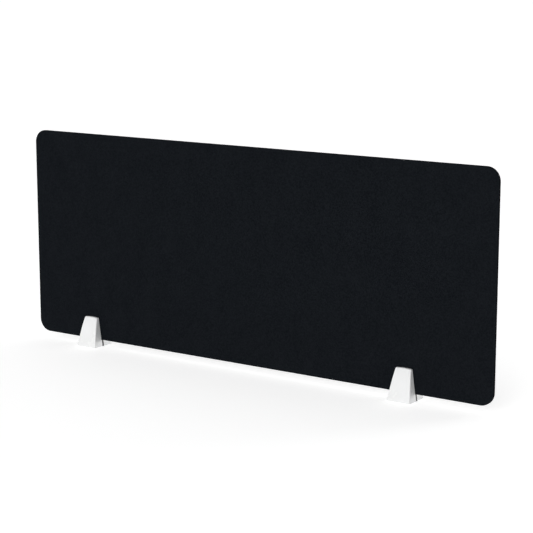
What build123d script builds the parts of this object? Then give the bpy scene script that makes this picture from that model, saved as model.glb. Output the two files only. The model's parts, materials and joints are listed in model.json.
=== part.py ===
"""Desk privacy panel: a thin felt board that stands on a desk in two screw-clamped, wedge-shaped feet.

Frame: millimetres, +Z up. X runs along the board, the front of the board faces -Y.
The origin is on the desk surface, under the middle of the board.

Each foot is two hollow white jaws with a dark spine between them. The board's lower edge rests on
the spine and on a ledge of each jaw, between two rubber grip pads. Two M5 screws enter from the
rear jaw, pass through the spine and turn in threaded inserts in the front jaw.
"""

from build123d import *
import os

# ---- felt board ----
BOARD_LENGTH = 1524.0
BOARD_HEIGHT = 610.0
BOARD_THICKNESS = 9.0
BOARD_CORNER_RADIUS = 37.0
BOARD_EDGE_EASE = 0.8
BOARD_UNDERSIDE = 20.0  # height of the board's lower edge above the desk

# ---- feet: where they stand along the board ----
LEFT_FOOT_X = -554.0
RIGHT_FOOT_X = 505.5

# ---- outer shape of a foot ----
FOOT_HEIGHT = 87.5
FOOT_BASE_WIDTH = 70.5
FOOT_TOP_WIDTH = 46.0
FOOT_BASE_DEPTH = 38.5  # from the board's middle plane to the outer face, at the desk
KNEE_HEIGHT = 51.0  # the outer face is flat below this height and curved above it
KNEE_DEPTH = 25.0
LIP_DEPTH = 12.0
TOP_CROWN = 1.4  # how far the top edge rises towards its middle
SIDE_EDGE_RADIUS = 3.2
TOP_EDGE_RADIUS = 1.8
FOOT_EDGE_EASE = 0.5  # round the outer edge at the desk, and the rim of a counterbore

# ---- shell of a jaw ----
WALL = 3.0
RIB = 2.0
CROSS_RIB_HEIGHT = 50.0
DESK_GAP = 0.5  # the jaws stand this far off the desk, on their base pads
SPINE_THICKNESS = 7.0
SPINE_INSET = 0.5
LEDGE_THICKNESS = 3.0
PAD_THICKNESS = 1.5
PAD_PROUD = 0.5  # how far a pad stands out of its recess
PAD_MARGIN = 1.2  # plastic left round the sides and top of a grip pad
BASE_PAD_MARGIN = 5.0
BASE_PAD_CORNER = 3.0

# ---- M5 clamp screws, washers and threaded inserts ----
SCREW_HEIGHT = 11.0
SCREW_SPACING = 36.0
SCREW_RADIUS = 2.5
SCREW_LENGTH = 40.0
SCREW_TIP_CHAMFER = 0.6
HEAD_RADIUS = 4.25
HEAD_HEIGHT = 5.0
HEAD_EDGE_RADIUS = 0.4
SOCKET_ACROSS_FLATS = 4.0
SOCKET_DEPTH = 2.5
SCREW_SEAT = 27.5  # from the board's middle plane to the floor of the counterbore
WASHER_RADIUS = 5.0
WASHER_THICKNESS = 1.0
WASHER_HOLE_RADIUS = 2.65
COUNTERBORE_RADIUS = 5.3
CLEARANCE_RADIUS = 2.75
INSERT_RADIUS = 3.5
INSERT_LENGTH = 10.0
INSERT_BORE_RADIUS = 2.55
INSERT_GROOVE = 0.4
INSERT_GROOVE_LENGTH = 2.0
INSERT_RECESS = 0.3
INSERT_HOLE_LENGTH = 13.0
BOSS_RADIUS = 8.0
FRONT_BOSS_LENGTH = 16.0

# ---- worked out ----
SPINE_FACE = SPINE_THICKNESS / 2
PAD_FACE = BOARD_THICKNESS / 2
JAW_FACE = PAD_FACE + PAD_PROUD
PAD_BACK = PAD_FACE + PAD_THICKNESS
SIDE_SLOPE = (FOOT_BASE_WIDTH - FOOT_TOP_WIDTH) / 2 / FOOT_HEIGHT
FACE_SLOPE = (FOOT_BASE_DEPTH - KNEE_DEPTH) / KNEE_HEIGHT
REACH = 2 * FOOT_HEIGHT  # longer than any size of a foot, for tools that cut right through
TRIM = 4.0  # how far a jaw is built past its top, before it is trimmed
CLOSE = 1.0  # an edge nearer to a plane than this lies in it
SCREW_XS = (-SCREW_SPACING / 2, SCREW_SPACING / 2)


def half_width(height):
    """Half the width of a foot at a height above the desk."""
    return FOOT_BASE_WIDTH / 2 - SIDE_SLOPE * height


def depth(height):
    """Depth of the flat part of a jaw's outer face, from the board's middle plane."""
    return FOOT_BASE_DEPTH - FACE_SLOPE * height


def box_between(low, high):
    """A box from its lowest to its highest corner."""
    size = [b - a for a, b in zip(low, high)]
    middle = [(a + b) / 2 for a, b in zip(low, high)]
    return Pos(*middle) * Box(*size)


def rod(radius, start, end, x=0.0, height=SCREW_HEIGHT):
    """A round bar along Y, from y = start to y = end."""
    return Pos(x, (start + end) / 2, height) * Rot(90, 0, 0) * Cylinder(radius, abs(end - start))


# ---- the board ----
def felt_board():
    outline = RectangleRounded(BOARD_LENGTH, BOARD_HEIGHT, BOARD_CORNER_RADIUS)
    board = extrude(Plane.XZ * outline, BOARD_THICKNESS / 2, both=True)
    rims = [e for face in board.faces().filter_by(Axis.Y) for e in face.edges()]
    board = fillet(rims, BOARD_EDGE_EASE)
    return Pos(0, 0, BOARD_UNDERSIDE + BOARD_HEIGHT / 2) * board


# ---- outlines of a foot ----
def side_outline():
    """Half a foot seen from the end of the board: y across, z up. It runs on above the foot's top."""
    foot = (depth(DESK_GAP), DESK_GAP)
    knee = (KNEE_DEPTH, KNEE_HEIGHT)
    curve = TangentArc(knee, (LIP_DEPTH, FOOT_HEIGHT), tangent=(-FACE_SLOPE, 1))
    above = curve @ 1 + (curve % 1) * TRIM
    return make_face(curve + Polyline(curve @ 1, above, (0, above.Y), (0, DESK_GAP), foot, knee))


def front_outline(extra=0.0):
    """A foot seen from the front: x across, z up. The top edge rises to its middle by the crown."""
    peak = FOOT_HEIGHT + extra
    shoulder = peak - TOP_CROWN
    low, high = half_width(DESK_GAP), half_width(shoulder)
    sides = Polyline((-high, shoulder), (-low, DESK_GAP), (low, DESK_GAP), (high, shoulder))
    return make_face(sides + ThreePointArc((high, shoulder), (0, peak), (-high, shoulder)))


def inset_slab(inset, near, far, bottom=0.0, top=REACH):
    """The front outline shrunk by an inset, from y = near to y = far, kept between two heights."""
    outline = offset(front_outline(), -inset, kind=Kind.INTERSECTION)
    outline = fillet(outline.vertices().sort_by(Axis.Y)[-2:], TOP_EDGE_RADIUS)
    slab = extrude(Plane.XZ * outline, REACH, both=True)
    return slab & box_between((-REACH, near, bottom), (REACH, far, top))


# ---- a jaw, built on the +Y side ----
def wedge():
    """A jaw's outer shape as one solid: rounded down its sides first, then trimmed and rounded on top."""
    block = extrude(Plane.YZ * side_outline(), REACH, both=True)
    block &= extrude(Plane.XZ * front_outline(extra=2 * TRIM), REACH, both=True)
    outer = [e for e in block.edges() if e.center().Y > LIP_DEPTH and e.center().Z > DESK_GAP + CLOSE]
    block = fillet([e for e in outer if abs(e.center().X) > CLOSE], SIDE_EDGE_RADIUS)
    block &= extrude(Plane.XZ * front_outline(), REACH, both=True)
    top = block.faces().sort_by(Axis.Z)[-1]
    block = fillet([e for e in top.edges() if e.center().Y > CLOSE], TOP_EDGE_RADIUS)
    bottom = block.faces().sort_by(Axis.Z)[0]
    block = fillet([e for e in bottom.edges() if e.center().Y > CLOSE], FOOT_EDGE_EASE)
    block -= box_between((-REACH, 0, 0), (REACH, SPINE_FACE, BOARD_UNDERSIDE))
    return block - box_between((-REACH, 0, BOARD_UNDERSIDE), (REACH, JAW_FACE, REACH))


def cavity():
    """The hollow of a jaw: its outer shape moved inwards by the wall, open towards the board."""
    hollow = extrude(Plane.YZ * offset(side_outline(), -WALL, kind=Kind.INTERSECTION), REACH, both=True)
    hollow += box_between((-REACH, 0, DESK_GAP + WALL), (REACH, LIP_DEPTH / 2, REACH))
    return hollow & inset_slab(WALL, 0, REACH)


def ribs():
    """The ledge under the board's edge, and the ribs that back the grip pad."""
    under_ledge = BOARD_UNDERSIDE - LEDGE_THICKNESS
    over_cross_rib = CROSS_RIB_HEIGHT + RIB
    half_rib = RIB / 2
    ledge = box_between((-REACH, SPINE_FACE, under_ledge), (REACH, REACH, BOARD_UNDERSIDE))
    cross_rib = box_between((-REACH, PAD_BACK, CROSS_RIB_HEIGHT), (REACH, REACH, over_cross_rib))
    low_rib = box_between((-half_rib, SPINE_FACE, DESK_GAP), (half_rib, REACH, under_ledge))
    upright = box_between((-half_rib, PAD_BACK, under_ledge), (half_rib, REACH, REACH))
    return [ledge, cross_rib, low_rib] + [Pos(x, 0, 0) * upright for x in (*SCREW_XS, 0)]


def jaw_shell(boss_end):
    """A hollow jaw with its ribs and bosses, and the recesses for its two pads."""
    outside = wedge()
    fill = ribs() + [rod(BOSS_RADIUS, SPINE_FACE, boss_end, x) for x in SCREW_XS]
    shell = outside - cavity()
    for piece in fill:
        shell += piece & outside
    return shell - grip_pad() - base_pad()


def grip_pad():
    return inset_slab(PAD_MARGIN, PAD_FACE, PAD_BACK, BOARD_UNDERSIDE)


def base_pad():
    width = FOOT_BASE_WIDTH - 2 * (WALL + BASE_PAD_MARGIN)
    near, far = SPINE_FACE + BASE_PAD_MARGIN, FOOT_BASE_DEPTH - BASE_PAD_MARGIN
    outline = Pos(0, (near + far) / 2) * RectangleRounded(width, far - near, BASE_PAD_CORNER)
    return extrude(outline, PAD_THICKNESS)


def is_rim(edge):
    """Whether an edge of the rear jaw is the outer rim of a counterbore."""
    middle = edge.center(CenterOf.BOUNDING_BOX)
    offset_x = abs(abs(middle.X) - SCREW_SPACING / 2)
    offset_z = abs(middle.Z - SCREW_HEIGHT)
    return max(offset_x, offset_z) < CLOSE and middle.Y > depth(SCREW_HEIGHT) - CLOSE


def rear_jaw():
    """The jaw that carries the screw heads."""
    jaw = jaw_shell(REACH)
    for x in SCREW_XS:
        jaw -= rod(CLEARANCE_RADIUS, 0, REACH, x)
        jaw -= rod(COUNTERBORE_RADIUS, SCREW_SEAT, REACH, x)
    rims = [e for e in jaw.edges().filter_by(GeomType.LINE, reverse=True) if is_rim(e)]
    return fillet(rims, FOOT_EDGE_EASE)


def front_jaw():
    """The jaw that holds the threaded inserts, turned to face the other one."""
    jaw = jaw_shell(SPINE_FACE + FRONT_BOSS_LENGTH)
    for x in SCREW_XS:
        jaw -= rod(INSERT_RADIUS, 0, SPINE_FACE + INSERT_HOLE_LENGTH, x)
    return to_front(jaw)


def to_front(shape):
    """The same shape on the -Y side."""
    return mirror(shape, about=Plane.XZ)


# ---- small parts of a foot ----
def spine():
    """The dark plate between the jaws that carries the board's weight."""
    plate = inset_slab(SPINE_INSET, -SPINE_FACE, SPINE_FACE, top=BOARD_UNDERSIDE)
    for x in SCREW_XS:
        plate -= rod(CLEARANCE_RADIUS, -REACH, REACH, x)
    return plate


def washer(x):
    ring = rod(WASHER_RADIUS, SCREW_SEAT, SCREW_SEAT + WASHER_THICKNESS, x)
    return ring - rod(WASHER_HOLE_RADIUS, 0, REACH, x)


def threaded_insert(x):
    """A brass insert with a groove round its middle."""
    near = -SPINE_FACE - INSERT_RECESS
    far = near - INSERT_LENGTH
    middle = (near + far) / 2
    half_groove = INSERT_GROOVE_LENGTH / 2
    groove = rod(REACH, middle - half_groove, middle + half_groove, x)
    groove -= rod(INSERT_RADIUS - INSERT_GROOVE, near, far, x)
    return rod(INSERT_RADIUS, near, far, x) - groove - rod(INSERT_BORE_RADIUS, near, far, x)


def clamp_screw(x):
    """An M5 socket-head screw, head to the rear."""
    under_head = SCREW_SEAT + WASHER_THICKNESS
    crown = under_head + HEAD_HEIGHT
    head = rod(HEAD_RADIUS, under_head, crown, x)
    head = fillet(head.edges().group_by(Axis.Y)[-1], HEAD_EDGE_RADIUS)
    shank = rod(SCREW_RADIUS, under_head, under_head - SCREW_LENGTH, x)
    shank = chamfer(shank.edges().group_by(Axis.Y)[0], SCREW_TIP_CHAMFER)
    hexagon = RegularPolygon(SOCKET_ACROSS_FLATS / 2, 6, major_radius=False)
    socket = extrude(Plane.XZ * hexagon, SOCKET_DEPTH)
    return head + shank - Pos(x, crown, SCREW_HEIGHT) * socket


def foot_parts(outward):
    """Every part of one foot. Outward is the X direction of the nearer end of the board, -1 or +1."""
    screw_offset = outward * SCREW_SPACING / 2
    return {
        "rear_jaw": rear_jaw(),
        "front_jaw": front_jaw(),
        "spine": spine(),
        "rear_grip_pad": grip_pad(),
        "front_grip_pad": to_front(grip_pad()),
        "rear_base_pad": base_pad(),
        "front_base_pad": to_front(base_pad()),
        "washers": Compound(children=[washer(x) for x in SCREW_XS]),
        "threaded_inserts": Compound(children=[threaded_insert(x) for x in SCREW_XS]),
        "clamp_screw_outer": clamp_screw(screw_offset),
        "clamp_screw_inner": clamp_screw(-screw_offset),
    }


def main():
    os.makedirs("parts", exist_ok=True)
    export_step(felt_board(), "parts/felt_board.step")
    for side, outward, x in (("left", -1, LEFT_FOOT_X), ("right", 1, RIGHT_FOOT_X)):
        for name, shape in foot_parts(outward).items():
            export_step(Pos(x, 0, 0) * shape, f"parts/{side}_{name}.step")


main()
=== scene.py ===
"""Looks of the desk privacy panel: a needle-felt board in two white plastic clamp feet.

Metres, +Z up. X runs along the board and the front of the board faces -Y.
"""

import json
import math
from functools import partial

import bmesh
import bpy
import numpy as np
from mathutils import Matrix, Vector


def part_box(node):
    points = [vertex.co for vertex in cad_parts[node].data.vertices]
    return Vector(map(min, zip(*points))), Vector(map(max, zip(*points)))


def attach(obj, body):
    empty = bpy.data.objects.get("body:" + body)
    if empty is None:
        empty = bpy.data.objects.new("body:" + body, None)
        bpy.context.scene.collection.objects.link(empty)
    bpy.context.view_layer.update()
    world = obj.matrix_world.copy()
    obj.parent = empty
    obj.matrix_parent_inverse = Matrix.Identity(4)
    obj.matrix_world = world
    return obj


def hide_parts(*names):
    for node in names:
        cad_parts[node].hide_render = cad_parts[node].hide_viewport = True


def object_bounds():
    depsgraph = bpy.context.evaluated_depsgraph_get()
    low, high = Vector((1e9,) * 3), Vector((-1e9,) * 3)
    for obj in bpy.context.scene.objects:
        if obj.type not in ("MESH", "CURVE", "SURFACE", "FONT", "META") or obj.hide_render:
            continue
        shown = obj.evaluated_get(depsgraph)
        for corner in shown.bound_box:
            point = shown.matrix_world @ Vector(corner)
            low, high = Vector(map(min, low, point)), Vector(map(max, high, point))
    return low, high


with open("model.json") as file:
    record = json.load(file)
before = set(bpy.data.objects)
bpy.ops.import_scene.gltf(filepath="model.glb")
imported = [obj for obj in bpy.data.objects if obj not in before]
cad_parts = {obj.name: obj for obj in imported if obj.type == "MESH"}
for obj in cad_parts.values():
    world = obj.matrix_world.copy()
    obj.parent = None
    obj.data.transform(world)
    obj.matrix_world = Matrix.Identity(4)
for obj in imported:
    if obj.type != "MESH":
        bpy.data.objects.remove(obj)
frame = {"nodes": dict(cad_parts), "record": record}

cad_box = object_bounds()

MM = 0.001
MERGE = 0.001 * MM  # vertices closer than this are one
SIDES = ("left", "right")
SCREW_PLACES = ("outer", "inner")

# ---- camera ----
CAMERA_AZIMUTH = math.radians(34.397)
CAMERA_ELEVATION = math.radians(11.043)
CAMERA_DISTANCE = 4.3808
CAMERA_LENS = 108.55
CAMERA_SENSOR = 36
CAMERA_REACH = 200
AIM_OFFSET = Vector((0.0672, 0.0, -0.0093))  # from the middle of the object

# ---- light ----
SKY_STRENGTH = (0.80, 0.08)  # at the far left and the far right
FLOOR_SIZE = 500.0
FLOOR_WHITE = (0.9, 0.9, 0.9, 1)
FLOOR_ROUGHNESS = 0.9
FLOOR_GLOW = 0.55  # light the floor gives off by itself, as a lit table does
KEY_STRENGTH = 1.65
KEY_SOFTNESS = math.radians(36)
KEY_FROM = (0.35, -3.6, 0.9)
REAR_BOX_FROM = (2.2, 2.8, 0.7)
REAR_BOX_SIZE = 1.4
REAR_BOX_POWER = 45
LAMP_AIM = (0.0, 0.0, 0.2)

# ---- felt board: its shape ----
CORNER_RADIUS = 37 * MM
CELL = 6 * MM  # mesh spacing over the faces
CORNER_STEPS = 14
RIM_RADIUS = 1.3 * MM  # softened die-cut edge
RIM_STEPS = 5
LATTICE_SEED = 7
LATTICE_SIZE = 32
FACE_SINK = 0.16 * MM  # deepest hollow of the felt's faces
RIM_SINK = 0.35 * MM  # deepest hollow of the felt's cut edge
FACE_HOLLOWS = ((0.6, 9, 45 * MM), (0.4, 5, 17 * MM))  # share, place in the lattice, width
RIM_HOLLOWS = ((0.5, 3, 9 * MM), (0.5, 1, 3.5 * MM))

# ---- M5 socket screws ----
SCREW_SEGMENTS = 60  # a multiple of 12, for the hexagon's corners and the knurl
SHARP_ANGLE = math.radians(28)
PITCH = 0.8 * MM
RINGS_PER_PITCH = 6
THREAD_DEPTH = 0.43 * MM
THREAD_LENGTH = 22 * MM
GROOVE_HALF_WIDTH = 0.38  # of a pitch
SHANK_RADIUS = 2.5 * MM
TIP_RADIUS = 1.7 * MM
HEAD_HEIGHT = 5 * MM
HEAD_FILLET = 0.2 * MM  # where the shank meets the head
HEAD_CHAMFER = 0.35 * MM
KNURL_DEPTH = 0.16 * MM
SOCKET_HALF_FLATS = 2.0 * MM
SOCKET_CHAMFER = 0.2 * MM
SOCKET_DEPTH = 2.5 * MM
SOCKET_CONE = 0.6 * MM

# Materials: a scale is in features per metre, a range is of a noise's value, a bump is its depth.
# ---- felt ----
FELT_DARK = (0.0030, 0.0038, 0.0051)
FELT_LIGHT = (0.0087, 0.0102, 0.0125)
FELT_FIBRE = (0.0119, 0.0140, 0.0168)
FELT_ROUGHNESS = (0.98, 0.86)  # where it is dark, and where it is light
GRAIN_SCALE = 330
GRAIN_RANGE = (0.38, 0.62)
GRAIN_SHARE = 0.76
GRAIN_BUMP = 0.5 * MM
CLOUD_SCALES = (16, 16, 12)
CLOUD_RANGE = (0.3, 0.7)
CLOUD_SHARE = 0.24
WANDER_SCALE = 160
WANDER_REACH = 1.6 * MM  # how far the fibres bend aside
FIBRE_DEPTH_SCALE = 900
FIBRE_RANGE = (0.54, 0.72)
FIBRE_SHARE = 0.55
FIBRE_BUMP = 0.16 * MM
FIBRE_LAYERS = (  # direction in radians, length and width
    (0.35, 4.0 * MM, 0.30 * MM),
    (0.95, 3.2 * MM, 0.24 * MM),
    (1.50, 4.5 * MM, 0.30 * MM),
    (2.05, 3.6 * MM, 0.26 * MM),
    (2.75, 4.0 * MM, 0.34 * MM),
)

# ---- moulded plastic ----
PLASTIC_IOR = 1.53
PLASTIC_TINT = (0.985, 0.985, 0.975)  # of the base colour, where it is cloudy
TINT_RANGE = (0.35, 0.65)
GLOSS_RANGE = (0.3, 0.7)
GLOSS_SPREAD = (-0.04, 0.05)  # either side of the roughness
PEEL_SCALE = 180
PEEL_BUMP = 0.02 * MM
TEXTURE_SCALE = 2600
TINT_SCALE = 22

# ---- rubber ----
RUBBER_GRAIN_SCALE = 1800
RUBBER_BUMP = 0.06 * MM
RUBBER_SPECULAR = 0.4
RUBBER_RANGE = (0.3, 0.7)
RUBBER_ROUGHNESS = (0.72, 0.9)
DUST_SCALE = 120
DUST_RANGE = (0.4, 0.75)
DUST_COVER = (0.0, 0.7)
DUST_GAIN = 1.9  # the dusty colour is the base times this
DUST_LIFT = 0.004  # plus this

# ---- metal ----
BRUSH_SCALES = (900, 9000, 900)
BRUSH_RANGE = (0.3, 0.7)
BRUSH_SPREAD = (-0.07, 0.1)  # either side of the roughness
BRUSH_BUMP = 0.01 * MM
SPOT_SCALE = 700
SPOT_RANGE = (0.45, 0.7)
SPOT_SHADE = 0.72  # of the base colour


# ================================================================ small helpers
def new_mesh_object(name, vertices, faces, smooth=True):
    mesh = bpy.data.meshes.new(name)
    mesh.from_pydata([tuple(v) for v in vertices], [], [tuple(f) for f in faces])
    mesh.validate()
    mesh.update()
    if smooth:
        mesh.shade_smooth()
    piece = bpy.data.objects.new(name, mesh)
    bpy.context.scene.collection.objects.link(piece)
    return piece


def merge_close(piece):
    """Joins vertices that lie together, and turns all faces outwards."""
    bm = bmesh.new()
    bm.from_mesh(piece.data)
    bmesh.ops.remove_doubles(bm, verts=bm.verts, dist=MERGE)
    bmesh.ops.recalc_face_normals(bm, faces=bm.faces)
    bm.to_mesh(piece.data)
    bm.free()


def either_side(value, spread):
    """The range that a spread makes round a value."""
    return tuple(value + offset for offset in spread)


class Lattice:
    """Smooth random values over space: a seeded grid read by cubic-eased interpolation."""

    def __init__(self, seed):
        self.values = np.random.default_rng(seed).uniform(0, 1, (LATTICE_SIZE,) * 3)

    def __call__(self, points, wavelength):
        p = np.asarray(points) / wavelength
        cell = np.floor(p).astype(int)
        t = p - cell
        t = t * t * (3 - 2 * t)
        total = 0.0
        for dx in (0, 1):
            for dy in (0, 1):
                for dz in (0, 1):
                    corner = (cell + (dx, dy, dz)) % LATTICE_SIZE
                    weight = np.where(np.array((dx, dy, dz)) == 1, t, 1 - t).prod(axis=1)
                    total = total + weight * self.values[corner[:, 0], corner[:, 1], corner[:, 2]]
        return total

    def layered(self, points, layers):
        """Random values of several widths, added up by their shares."""
        return sum(share * self(points + place, width) for share, place, width in layers)


# ================================================================ node helpers
class Shader:
    """A material being built: short calls that add and link nodes."""

    def __init__(self, name):
        self.material = bpy.data.materials.new(name)
        self.material.use_nodes = True
        self.tree = self.material.node_tree
        self.tree.nodes.clear()
        output = self.add("ShaderNodeOutputMaterial")
        self.surface = self.add("ShaderNodeBsdfPrincipled")
        self.link(self.surface.outputs["BSDF"], output.inputs["Surface"])
        self.coords = self.add("ShaderNodeTexCoord").outputs["Object"]

    def add(self, kind, **settings):
        node = self.tree.nodes.new(kind)
        for key, value in settings.items():
            setattr(node, key, value)
        return node

    def link(self, source, target):
        self.tree.links.new(source, target)

    def feed(self, target, value):
        """Links a socket's output to an input, or sets a plain value on it."""
        if isinstance(value, bpy.types.NodeSocket):
            self.link(value, target)
        else:
            target.default_value = value

    def set(self, **values):
        """Sets the shader's own inputs: spaces in their names are written as underscores."""
        for key, value in values.items():
            self.feed(self.surface.inputs[key.replace("_", " ")], value)

    def math(self, operation, a, b):
        node = self.add("ShaderNodeMath", operation=operation)
        for socket, value in zip(node.inputs, (a, b)):
            self.feed(socket, value)
        return node.outputs["Value"]

    def mapped(self, scales, turn=(0, 0, 0), source=None):
        """The object's coordinates, or a source's, turned and then stretched by a scale on each axis."""
        turned = self.add("ShaderNodeMapping")
        self.feed(turned.inputs["Vector"], source or self.coords)
        turned.inputs["Rotation"].default_value = turn
        stretched = self.add("ShaderNodeMapping")
        self.link(turned.outputs["Vector"], stretched.inputs["Vector"])
        stretched.inputs["Scale"].default_value = scales
        return stretched.outputs["Vector"]

    def noise(self, vector, detail=2.0, roughness=0.5, output="Fac"):
        node = self.add("ShaderNodeTexNoise")
        self.feed(node.inputs["Vector"], vector)
        for name, number in (("Scale", 1.0), ("Detail", detail), ("Roughness", roughness)):
            node.inputs[name].default_value = number
        return node.outputs[output]

    def even_noise(self, scale, **settings):
        """Noise with the same scale on every axis."""
        return self.noise(self.mapped((scale,) * 3), **settings)

    def remap(self, value, source, target=(0.0, 1.0)):
        """A value taken from one range to another, and kept inside it."""
        node = self.add("ShaderNodeMapRange", clamp=True)
        for name, number in zip(("From Min", "From Max", "To Min", "To Max"), (*source, *target)):
            node.inputs[name].default_value = number
        self.feed(node.inputs["Value"], value)
        return node.outputs["Result"]

    def mix(self, factor, a, b):
        node = self.add("ShaderNodeMix", data_type="RGBA")
        self.feed(node.inputs["Factor"], factor)
        for name, value in (("A", a), ("B", b)):
            socket = next(s for s in node.inputs if s.name == name and s.type == "RGBA")
            self.feed(socket, (*value, 1.0) if isinstance(value, tuple) else value)
        return next(s for s in node.outputs if s.type == "RGBA")

    def bump(self, height, distance, normal=None):
        node = self.add("ShaderNodeBump")
        node.inputs["Strength"].default_value = 1.0
        node.inputs["Distance"].default_value = distance
        self.feed(node.inputs["Height"], height)
        if normal is not None:
            self.feed(node.inputs["Normal"], normal)
        return node.outputs["Normal"]


# ================================================================ materials
def felt_fibres(s):
    """Fibres lying across the felt every way, a little bent: 1 on a fibre, 0 between them."""
    bent = s.add("ShaderNodeVectorMath", operation="MULTIPLY_ADD")
    s.link(s.even_noise(WANDER_SCALE, output="Color"), bent.inputs[0])
    bent.inputs[1].default_value = (WANDER_REACH,) * 3
    s.link(s.coords, bent.inputs[2])
    fibres = None
    for turn, length, width in FIBRE_LAYERS:
        scales = (1 / length, FIBRE_DEPTH_SCALE, 1 / width)
        vector = s.mapped(scales, turn=(0, turn, 0), source=bent.outputs["Vector"])
        layer = s.remap(s.noise(vector, detail=1.0), FIBRE_RANGE)
        fibres = layer if fibres is None else s.math("MAXIMUM", fibres, layer)
    return fibres


def felt_material(name):
    """Needle-punched polyester felt: an even fine grain, slow clouds, and paler fibres lying across it."""
    s = Shader(name)
    fibres = felt_fibres(s)
    grain = s.even_noise(GRAIN_SCALE, detail=3.0, roughness=0.45)
    cloud = s.noise(s.mapped(CLOUD_SCALES), detail=3.0)
    grain_tone = s.math("MULTIPLY", s.remap(grain, GRAIN_RANGE), GRAIN_SHARE)
    cloud_tone = s.math("MULTIPLY", s.remap(cloud, CLOUD_RANGE), CLOUD_SHARE)
    tone = s.math("ADD", grain_tone, cloud_tone)
    ground = s.mix(tone, FELT_DARK, FELT_LIGHT)
    s.set(Base_Color=s.mix(s.math("MULTIPLY", fibres, FIBRE_SHARE), ground, FELT_FIBRE))
    s.set(Roughness=s.remap(tone, (0.0, 1.0), FELT_ROUGHNESS), Specular_IOR_Level=0.0)
    s.set(Normal=s.bump(fibres, FIBRE_BUMP, normal=s.bump(grain, GRAIN_BUMP)))
    return s.material


def moulded_plastic(name, base, roughness, texture_bump):
    """Injection-moulded plastic: a faint orange-peel, a fine texture, and uneven colour and gloss."""
    s = Shader(name)
    peel = s.even_noise(PEEL_SCALE, detail=1.0)
    texture = s.even_noise(TEXTURE_SCALE)
    cloud = s.even_noise(TINT_SCALE)
    tinted = tuple(c * share for c, share in zip(base, PLASTIC_TINT))
    s.set(Base_Color=s.mix(s.remap(cloud, TINT_RANGE), base, tinted))
    s.set(Roughness=s.remap(cloud, GLOSS_RANGE, either_side(roughness, GLOSS_SPREAD)))
    s.set(IOR=PLASTIC_IOR)
    s.set(Normal=s.bump(texture, texture_bump, normal=s.bump(peel, PEEL_BUMP)))
    return s.material


def rubber(name, base):
    """Matte rubber with a fine dusty grain."""
    s = Shader(name)
    grain = s.even_noise(RUBBER_GRAIN_SCALE, detail=3.0)
    dust = s.even_noise(DUST_SCALE, detail=4.0, roughness=0.6)
    dusty = tuple(c * DUST_GAIN + DUST_LIFT for c in base)
    s.set(Base_Color=s.mix(s.remap(dust, DUST_RANGE, DUST_COVER), base, dusty))
    s.set(Roughness=s.remap(dust, RUBBER_RANGE, RUBBER_ROUGHNESS), Specular_IOR_Level=RUBBER_SPECULAR)
    s.set(Normal=s.bump(grain, RUBBER_BUMP))
    return s.material


def metal(name, base, roughness):
    """Turned and plated metal: fine brushing, small dark spots and a slightly uneven finish."""
    s = Shader(name)
    brush = s.noise(s.mapped(BRUSH_SCALES))
    spots = s.even_noise(SPOT_SCALE, detail=3.0)
    darker = tuple(c * SPOT_SHADE for c in base)
    s.set(Base_Color=s.mix(s.remap(spots, SPOT_RANGE), base, darker), Metallic=1.0)
    s.set(Roughness=s.remap(brush, BRUSH_RANGE, either_side(roughness, BRUSH_SPREAD)))
    s.set(Normal=s.bump(brush, BRUSH_BUMP))
    return s.material


def floor_material():
    s = Shader("studio_floor")
    s.set(Base_Color=FLOOR_WHITE, Roughness=FLOOR_ROUGHNESS, Specular_IOR_Level=0.0)
    s.set(Emission_Color=(1, 1, 1, 1), Emission_Strength=FLOOR_GLOW)
    return s.material


# ================================================================ the felt board
def grid_lines(reach):
    """Even places from -reach to reach, about one cell apart."""
    return np.linspace(-reach, reach, round(2 * reach / CELL) + 1)


def rounded_outline(xs, zs):
    """Anchors round the flat middle of the board, anticlockwise, each with its direction outwards."""
    right, top = xs[-1], zs[-1]
    walks = (
        [(right, z) for z in zs],
        [(x, top) for x in xs[::-1]],
        [(-right, z) for z in zs[::-1]],
        [(x, -top) for x in xs],
    )
    outline = []
    for side, walk in enumerate(walks):
        facing = math.pi / 2 * side
        outline += [(anchor, (math.cos(facing), math.sin(facing))) for anchor in walk]
        for step in range(1, CORNER_STEPS):
            angle = facing + math.pi / 2 * step / CORNER_STEPS
            outline.append((walk[-1], (math.cos(angle), math.sin(angle))))
    return outline


def edge_profile(half_thickness):
    """Rings from the front face, round the rim, to the back face: distance from the anchors, and y."""
    flat = CORNER_RADIUS - RIM_RADIUS
    side = half_thickness - RIM_RADIUS
    flat_steps = round(CORNER_RADIUS / CELL)
    front = [(flat * k / flat_steps, -half_thickness) for k in range(flat_steps + 1)]
    for k in range(1, RIM_STEPS + 1):
        angle = math.pi / 2 * k / RIM_STEPS
        front.append((flat + RIM_RADIUS * math.sin(angle), -side - RIM_RADIUS * math.cos(angle)))
    middle = [(CORNER_RADIUS, side * k / 2) for k in (-1, 0, 1)]
    return front + middle + [(r, -y) for r, y in reversed(front)]


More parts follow.
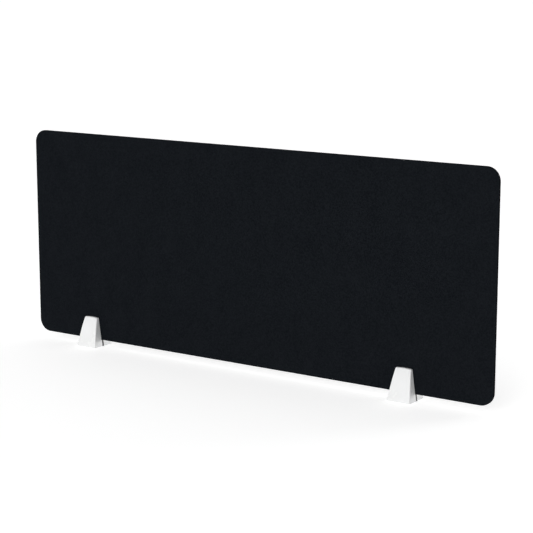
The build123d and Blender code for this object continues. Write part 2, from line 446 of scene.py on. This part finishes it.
def felt_board():
    """One sheet of felt: an even grid over both faces, polar corners, and a soft rounded rim."""
    low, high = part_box("felt_board")
    middle, half = (low + high) / 2, (high - low) / 2
    xs, zs = grid_lines(half.x - CORNER_RADIUS), grid_lines(half.z - CORNER_RADIUS)
    outline, profile = rounded_outline(xs, zs), edge_profile(half.y)
    vertices = [(x + out_x * r, y, z + out_z * r) for r, y in profile for (x, z), (out_x, out_z) in outline]
    faces = []
    count = len(outline)
    for ring in range(len(profile) - 1):
        a, b = ring * count, (ring + 1) * count
        for i in range(count):
            j = (i + 1) % count
            faces.append((a + i, a + j, b + j, b + i))
    across = len(xs)
    for y, turn in ((-half.y, 1), (half.y, -1)):
        start = len(vertices)
        vertices += [(x, y, z) for z in zs for x in xs]
        for row in range(len(zs) - 1):
            for column in range(across - 1):
                a = start + row * across + column
                faces.append((a, a + 1, a + across + 1, a + across)[::turn])
    board = new_mesh_object("felt_sheet", vertices, faces)
    merge_close(board)
    roughen(board, middle, half)
    return board


def roughen(board, middle, half):
    """Sinks hollows into the board's faces and its cut edge, and moves it to its place."""
    co = np.empty(len(board.data.vertices) * 3)
    board.data.vertices.foreach_get("co", co)
    co = co.reshape(-1, 3)
    lattice = Lattice(LATTICE_SEED)
    on_face = np.clip((np.abs(co[:, 1]) - (half.y - RIM_RADIUS)) / RIM_RADIUS, 0, 1)
    co[:, 1] -= np.sign(co[:, 1]) * on_face * lattice.layered(co, FACE_HOLLOWS) * FACE_SINK
    ragged = lattice.layered(co, RIM_HOLLOWS)
    flat_reach = (half.x - CORNER_RADIUS, np.inf, half.z - CORNER_RADIUS)
    outward = np.sign(co) * np.clip(np.abs(co) - flat_reach, 0, None)
    distance = np.linalg.norm(outward, axis=1)
    near_rim = np.clip((distance - (CORNER_RADIUS - 2 * RIM_RADIUS)) / (2 * RIM_RADIUS), 0, 1)
    co -= outward / np.maximum(distance, MERGE)[:, None] * (near_rim * ragged * RIM_SINK)[:, None]
    co += np.array(middle)
    board.data.vertices.foreach_set("co", co.ravel())
    board.data.update()


# ================================================================ the clamp screws
def thread_radius(y, turn):
    """Radius of the thread at a distance from the screw's tip and a part of a turn round it."""
    along = (y / PITCH - turn) % 1
    groove = max(0.0, 1 - abs(along - 0.5) / GROOVE_HALF_WIDTH)
    run_out = min(1.0, (THREAD_LENGTH - y) / PITCH)
    return min(SHANK_RADIUS - THREAD_DEPTH * groove * run_out, TIP_RADIUS + y)


def round_radius(radius, turn):
    """Radius of a plain ring, the same all the way round."""
    return radius


def knurl_radius(head_radius, turn):
    """Radius of the knurled head: every second point round it is cut in."""
    return head_radius - KNURL_DEPTH * (round(turn * SCREW_SEGMENTS) % 2)


def hexagon_radius(turn):
    """Radius of the socket's hexagon at a part of a turn."""
    return SOCKET_HALF_FLATS / math.cos((turn * 6 % 1 - 0.5) * math.pi / 3)


def screw_rings(length, head_radius):
    """The screw's outline from its tip to the bottom of its socket: distance along it, and radius by turn."""
    steps = round(THREAD_LENGTH / PITCH * RINGS_PER_PITCH)
    seat = length - HEAD_HEIGHT
    flank = head_radius - KNURL_DEPTH
    thread = [THREAD_LENGTH * step / steps for step in range(steps + 1)]
    neck = (
        (seat - HEAD_FILLET, SHANK_RADIUS),
        (seat, SHANK_RADIUS + HEAD_FILLET),
        (seat, flank - HEAD_CHAMFER),
        (seat + HEAD_CHAMFER, flank),
    )
    knurl = (seat + 2 * HEAD_CHAMFER, length - 2 * HEAD_CHAMFER)
    crown = (
        (length - HEAD_CHAMFER, flank),
        (length, flank - HEAD_CHAMFER),
        (length, hexagon_radius(0) + SOCKET_CHAMFER),
    )
    socket = (length - SOCKET_CHAMFER, length - SOCKET_DEPTH)
    return [
        *((y, partial(thread_radius, y)) for y in thread),
        *((y, partial(round_radius, radius)) for y, radius in neck),
        *((y, partial(knurl_radius, head_radius)) for y in knurl),
        *((y, partial(round_radius, radius)) for y, radius in crown),
        *((y, hexagon_radius) for y in socket),
    ]


def socket_screw(name, node):
    """A socket-head screw with a real helical thread, a knurled head and a hexagonal socket."""
    low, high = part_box(node)
    axis_x, axis_z = (low.x + high.x) / 2, (low.z + high.z) / 2
    rings = screw_rings(high.y - low.y, (high.x - low.x) / 2)
    vertices = []
    for y, radius in rings:
        for i in range(SCREW_SEGMENTS):
            turn = i / SCREW_SEGMENTS
            r, angle = radius(turn), 2 * math.pi * turn
            vertices.append((axis_x + r * math.cos(angle), low.y + y, axis_z + r * math.sin(angle)))
    faces = []
    for ring in range(len(rings) - 1):
        a, b = ring * SCREW_SEGMENTS, (ring + 1) * SCREW_SEGMENTS
        for i in range(SCREW_SEGMENTS):
            j = (i + 1) % SCREW_SEGMENTS
            faces.append((a + i, b + i, b + j, a + j))
    ends = ((0, low.y), (len(rings) - 1, high.y - SOCKET_DEPTH - SOCKET_CONE))
    for ring, y in ends:
        middle, start = len(vertices), ring * SCREW_SEGMENTS
        vertices.append((axis_x, y, axis_z))
        for i in range(SCREW_SEGMENTS):
            faces.append((start + i, start + (i + 1) % SCREW_SEGMENTS, middle))
    screw = new_mesh_object(name, vertices, faces)
    merge_close(screw)
    screw.data.set_sharp_from_angle(angle=SHARP_ANGLE)
    return screw


# ================================================================ dressing the object
NODE_MATERIALS = {
    "white_plastic": moulded_plastic(
        "white_abs", base=(0.83, 0.835, 0.84), roughness=0.24, texture_bump=0.004 * MM
    ),
    "dark_plastic": moulded_plastic(
        "black_nylon", base=(0.018, 0.018, 0.02), roughness=0.5, texture_bump=0.02 * MM
    ),
    "grip_rubber": rubber("grip_rubber", base=(0.012, 0.012, 0.013)),
    "base_rubber": rubber("base_rubber", base=(0.016, 0.016, 0.017)),
    "steel": metal("zinc_plated_steel", base=(0.44, 0.44, 0.455), roughness=0.26),
    "brass": metal("brass", base=(0.80, 0.61, 0.30), roughness=0.32),
}


def dress_cad_nodes():
    """Gives every carried-over CAD node the material of its slot."""
    for part in frame["record"]["subparts"]:
        if part["material_slot"] in NODE_MATERIALS:
            data = frame["nodes"][part["node"]].data
            data.materials.clear()
            data.materials.append(NODE_MATERIALS[part["material_slot"]])


def make_board():
    board = felt_board()
    board.data.materials.append(felt_material("needle_felt"))
    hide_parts("felt_board")
    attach(board, "board")


def make_screws():
    for side in SIDES:
        for place in SCREW_PLACES:
            node = f"{side}_clamp_screw_{place}"
            screw = socket_screw(f"{side}_socket_screw_{place}", node)
            screw.data.materials.append(NODE_MATERIALS["steel"])
            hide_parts(node)
            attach(screw, f"{side}_screw_{place}")


# ================================================================ studio
def make_floor():
    half = FLOOR_SIZE / 2
    corners = [(-half, -half, 0), (half, -half, 0), (half, half, 0), (-half, half, 0)]
    floor = new_mesh_object("studio_floor", corners, [(0, 1, 2, 3)], smooth=False)
    floor.data.materials.append(floor_material())


def make_sky():
    """A sky that lights the object more from the left than from the right, and is plain white behind it."""
    world = bpy.data.worlds.new("studio")
    world.use_nodes = True
    tree = world.node_tree
    background = tree.nodes["Background"]
    background.inputs["Color"].default_value = (1, 1, 1, 1)
    direction = tree.nodes.new("ShaderNodeSeparateXYZ")
    tree.links.new(tree.nodes.new("ShaderNodeTexCoord").outputs["Generated"], direction.inputs["Vector"])
    lit = tree.nodes.new("ShaderNodeMapRange")
    for name, number in zip(("From Min", "From Max", "To Min", "To Max"), (-1, 1, *SKY_STRENGTH)):
        lit.inputs[name].default_value = number
    tree.links.new(direction.outputs["X"], lit.inputs["Value"])
    strength = tree.nodes.new("ShaderNodeMapRange")
    tree.links.new(tree.nodes.new("ShaderNodeLightPath").outputs["Is Camera Ray"], strength.inputs["Value"])
    tree.links.new(lit.outputs["Result"], strength.inputs["To Min"])
    tree.links.new(strength.outputs["Result"], background.inputs["Strength"])
    bpy.context.scene.world = world


def place_lamp(lamp, place):
    """Hangs a lamp at a place, aimed at the object and unseen by the camera."""
    holder = bpy.data.objects.new(lamp.name, lamp)
    holder.location = place
    aim = Vector(LAMP_AIM) - Vector(place)
    holder.rotation_euler = aim.to_track_quat("-Z", "Y").to_euler()
    holder.visible_camera = False
    bpy.context.scene.collection.objects.link(holder)


def make_lamps():
    """A broad key light in front and a soft box behind."""
    key = bpy.data.lights.new("key", "SUN")
    key.energy = KEY_STRENGTH
    key.angle = KEY_SOFTNESS
    place_lamp(key, KEY_FROM)
    rear = bpy.data.lights.new("rear", "AREA")
    rear.shape = "SQUARE"
    rear.size = REAR_BOX_SIZE
    rear.energy = REAR_BOX_POWER
    place_lamp(rear, REAR_BOX_FROM)


def make_camera():
    low, high = cad_box
    aim = (low + high) / 2 + AIM_OFFSET
    level = math.cos(CAMERA_ELEVATION)
    back = Vector((
        math.sin(CAMERA_AZIMUTH) * level,
        -math.cos(CAMERA_AZIMUTH) * level,
        math.sin(CAMERA_ELEVATION),
    ))
    data = bpy.data.cameras.new("camera")
    data.lens = CAMERA_LENS
    data.sensor_width = CAMERA_SENSOR
    data.clip_end = CAMERA_REACH
    camera = bpy.data.objects.new("camera", data)
    camera.location = aim + back * CAMERA_DISTANCE
    camera.rotation_euler = back.to_track_quat("Z", "Y").to_euler()
    bpy.context.scene.collection.objects.link(camera)
    bpy.context.scene.camera = camera


# ================================================================ making it all
bpy.context.scene.view_settings.view_transform = "Standard"
make_camera()
make_floor()
make_sky()
make_lamps()
dress_cad_nodes()
make_board()
make_screws()
